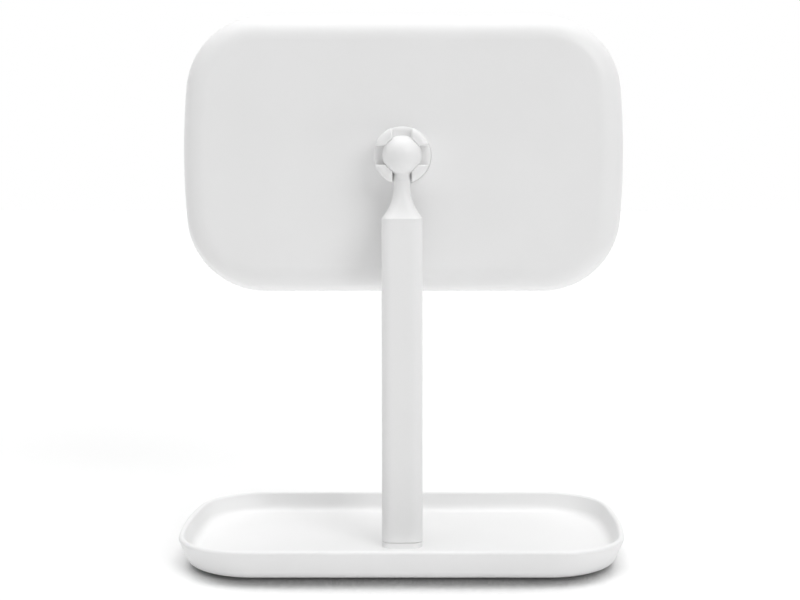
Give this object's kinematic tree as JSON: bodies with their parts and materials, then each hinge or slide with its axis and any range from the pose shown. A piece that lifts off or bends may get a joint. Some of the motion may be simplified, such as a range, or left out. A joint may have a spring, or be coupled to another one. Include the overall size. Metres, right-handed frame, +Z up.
{
  "type": "tabletop makeup mirror",
  "caption": "Free-standing makeup mirror: a wide, softly rounded mirror head on a ball joint, carried by a square post that stands in a shallow storage tray.",
  "frame": {"origin": "on the table under the middle of the tray", "axes": "+Z up, the mirror glass faces -Y, the pictured back of the mirror faces +Y, +X across the width"},
  "size_m": [0.2266, 0.12, 0.271],
  "materials": {
    "white_plastic": "fine satin moulding",
    "inner_plastic": "plain moulding",
    "steel": "zinc plated",
    "brass": "turned",
    "rubber": "soft grey",
    "foam": "double-sided foam strip",
    "mirror": "silvered glass"
  },
  "bodies": {
    "stand": {"tray": "white_plastic", "ballast_plate": "steel", "base_cover": "inner_plastic", "base_cover_screws": "steel", "rubber_feet": "rubber", "post": "white_plastic", "post_plug": "inner_plastic", "plug_insert": "brass", "post_screw": "steel", "post_washer": "steel", "neck_stud": "white_plastic", "ball_pin": "steel"},
    "swivel_ball": {"ball": "white_plastic"},
    "mirror_head": {"ball_socket": "white_plastic", "friction_pad": "inner_plastic", "pad_spring": "steel", "socket_plate": "inner_plastic", "socket_screws": "steel", "rear_cover": "white_plastic", "front_frame": "white_plastic", "cover_screws": "steel", "glass_tape": "foam", "mirror_glass": "mirror"}
  },
  "joints": [
    {"name": "head_swivel", "type": "hinge", "parent": "stand", "child": "swivel_ball", "pos_m": [0, 0.0105, 0.199], "axis": [0, 0, 1], "continuous": true},
    {"name": "head_tilt", "type": "hinge", "parent": "swivel_ball", "child": "mirror_head", "pos_m": [0, 0.0105, 0.199], "axis": [-1, 0, 0], "range_deg": [-3, 90]}
  ]
}
